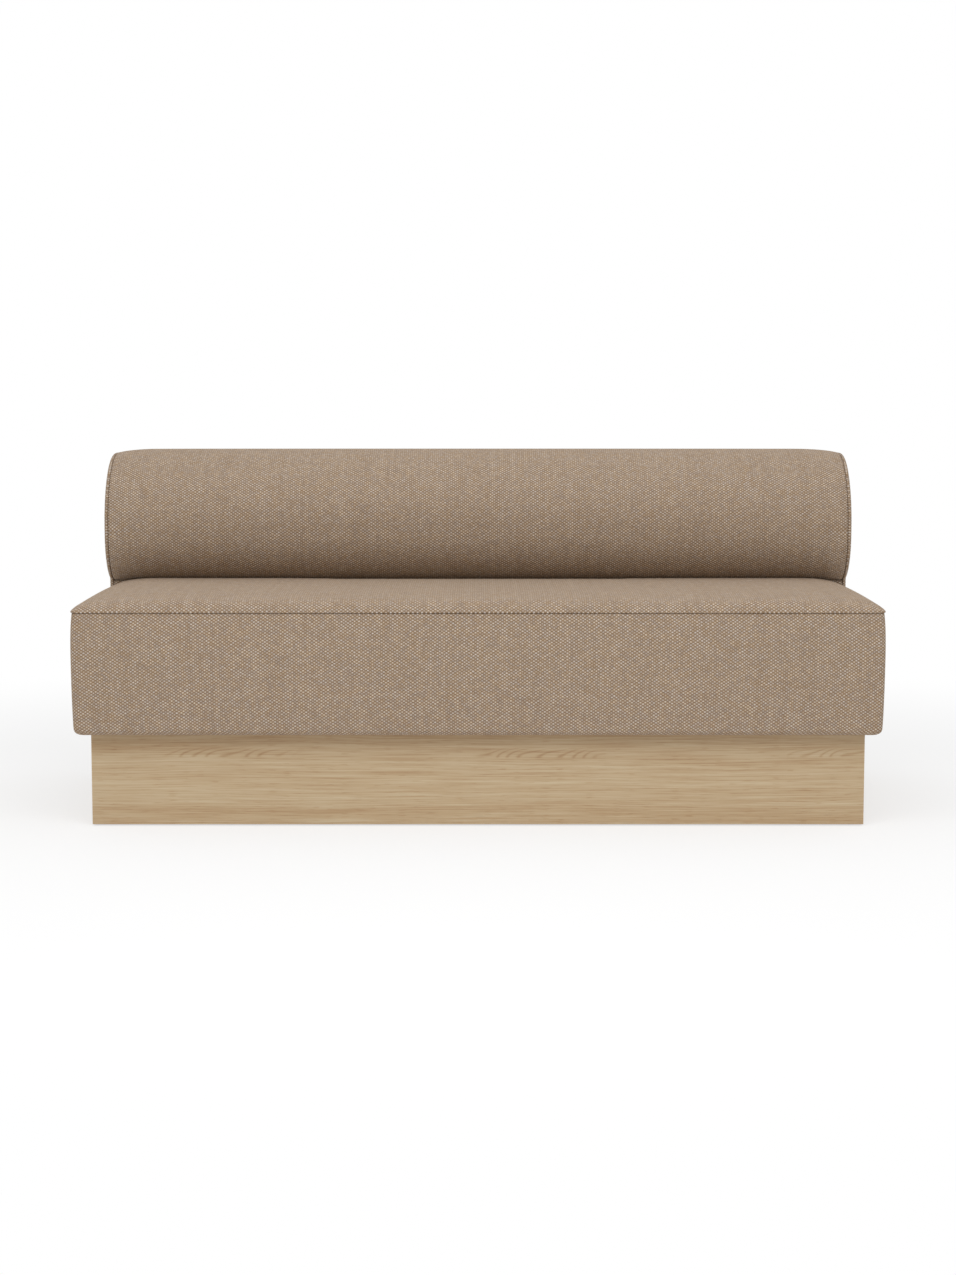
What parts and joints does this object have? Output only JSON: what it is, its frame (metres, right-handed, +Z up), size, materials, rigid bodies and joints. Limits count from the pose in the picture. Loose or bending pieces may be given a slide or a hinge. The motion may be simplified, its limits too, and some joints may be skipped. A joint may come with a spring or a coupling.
{
  "type": "dining sofa",
  "caption": "Upholstered dining sofa with a crowned bench seat, a round roll back and an oak-veneered plinth on levelling glides.",
  "frame": {"origin": "on the floor, under the middle of the sofa's outline", "axes": "+X along the sofa to the sitter's left (the viewer's right from the front), +Y from the front to the back, +Z up"},
  "size_m": [1.6502, 0.7501, 0.756],
  "materials": {
    "oak_veneer": "clear matt lacquer on oak veneer, grain along each board",
    "plywood": "sanded birch plywood",
    "softwood": "planed pine",
    "beech_dowel": "fluted beech, plain here",
    "hardboard": "smooth brown hardboard",
    "foam": "open-cell upholstery foam",
    "wadding": "polyester wadding",
    "hopsack": "coarse two-yarn hopsack upholstery cloth",
    "webbing": "elastic upholstery webbing",
    "deck_cloth": "pressed felt",
    "dust_cloth": "black non-woven cloth",
    "zinc_steel": "bright zinc plate",
    "glide_plastic": "black moulded nylon"
  },
  "bodies": {
    "sofa": {"back_bolt_board": "plywood", "back_bolts": "zinc_steel", "back_bottom_rail": "softwood", "back_left_end_rib": "plywood", "back_left_rib": "plywood", "back_lumbar_rail": "softwood", "back_rear_panel": "hardboard", "back_right_end_rib": "plywood", "back_right_rib": "plywood", "back_tee_nuts": "zinc_steel", "back_top_rail": "softwood", "back_washers": "zinc_steel", "glide_blocks": "softwood", "glide_sleeves": "zinc_steel", "left_end_cover": "hopsack", "left_end_pad": "foam", "neck_cover": "hopsack", "plinth_front_board": "oak_veneer", "plinth_inner_left_tie": "plywood", "plinth_inner_right_tie": "plywood", "plinth_left_board": "oak_veneer", "plinth_outer_left_tie": "plywood", "plinth_outer_right_tie": "plywood", "plinth_rear_board": "oak_veneer", "plinth_right_board": "oak_veneer", "plinth_screws": "zinc_steel", "rear_cover": "hopsack", "rear_pad": "wadding", "right_end_cover": "hopsack", "right_end_pad": "foam", "roll_cover": "hopsack", "roll_foam": "foam", "roll_shell": "hardboard", "seat_border_cover": "hopsack", "seat_core_foam": "foam", "seat_corner_blocks": "softwood", "seat_crown_pad": "wadding", "seat_deck_cloth": "deck_cloth", "seat_dust_cover": "dust_cloth", "seat_front_pad": "foam", "seat_front_rail": "softwood", "seat_left_pad": "foam", "seat_left_rail": "softwood", "seat_left_stretcher": "softwood", "seat_rear_rail": "softwood", "seat_right_pad": "foam", "seat_right_rail": "softwood", "seat_right_stretcher": "softwood", "seat_top_cover": "hopsack", "seat_webbing": "webbing", "tie_dowels": "beech_dowel"},
    "front_left_glide": {"front_left_glide_stem": "zinc_steel", "front_left_glide_pad": "glide_plastic"},
    "front_right_glide": {"front_right_glide_stem": "zinc_steel", "front_right_glide_pad": "glide_plastic"},
    "rear_left_glide": {"rear_left_glide_stem": "zinc_steel", "rear_left_glide_pad": "glide_plastic"},
    "rear_right_glide": {"rear_right_glide_stem": "zinc_steel", "rear_right_glide_pad": "glide_plastic"}
  },
  "joints": [
    {"name": "front_left_glide_travel", "type": "slide", "parent": "sofa", "child": "front_left_glide", "axis": [0, 0, -1], "range_m": [0, 0.012]},
    {"name": "front_right_glide_travel", "type": "slide", "parent": "sofa", "child": "front_right_glide", "axis": [0, 0, -1], "range_m": [0, 0.012]},
    {"name": "rear_left_glide_travel", "type": "slide", "parent": "sofa", "child": "rear_left_glide", "axis": [0, 0, -1], "range_m": [0, 0.012]},
    {"name": "rear_right_glide_travel", "type": "slide", "parent": "sofa", "child": "rear_right_glide", "axis": [0, 0, -1], "range_m": [0, 0.012]}
  ]
}
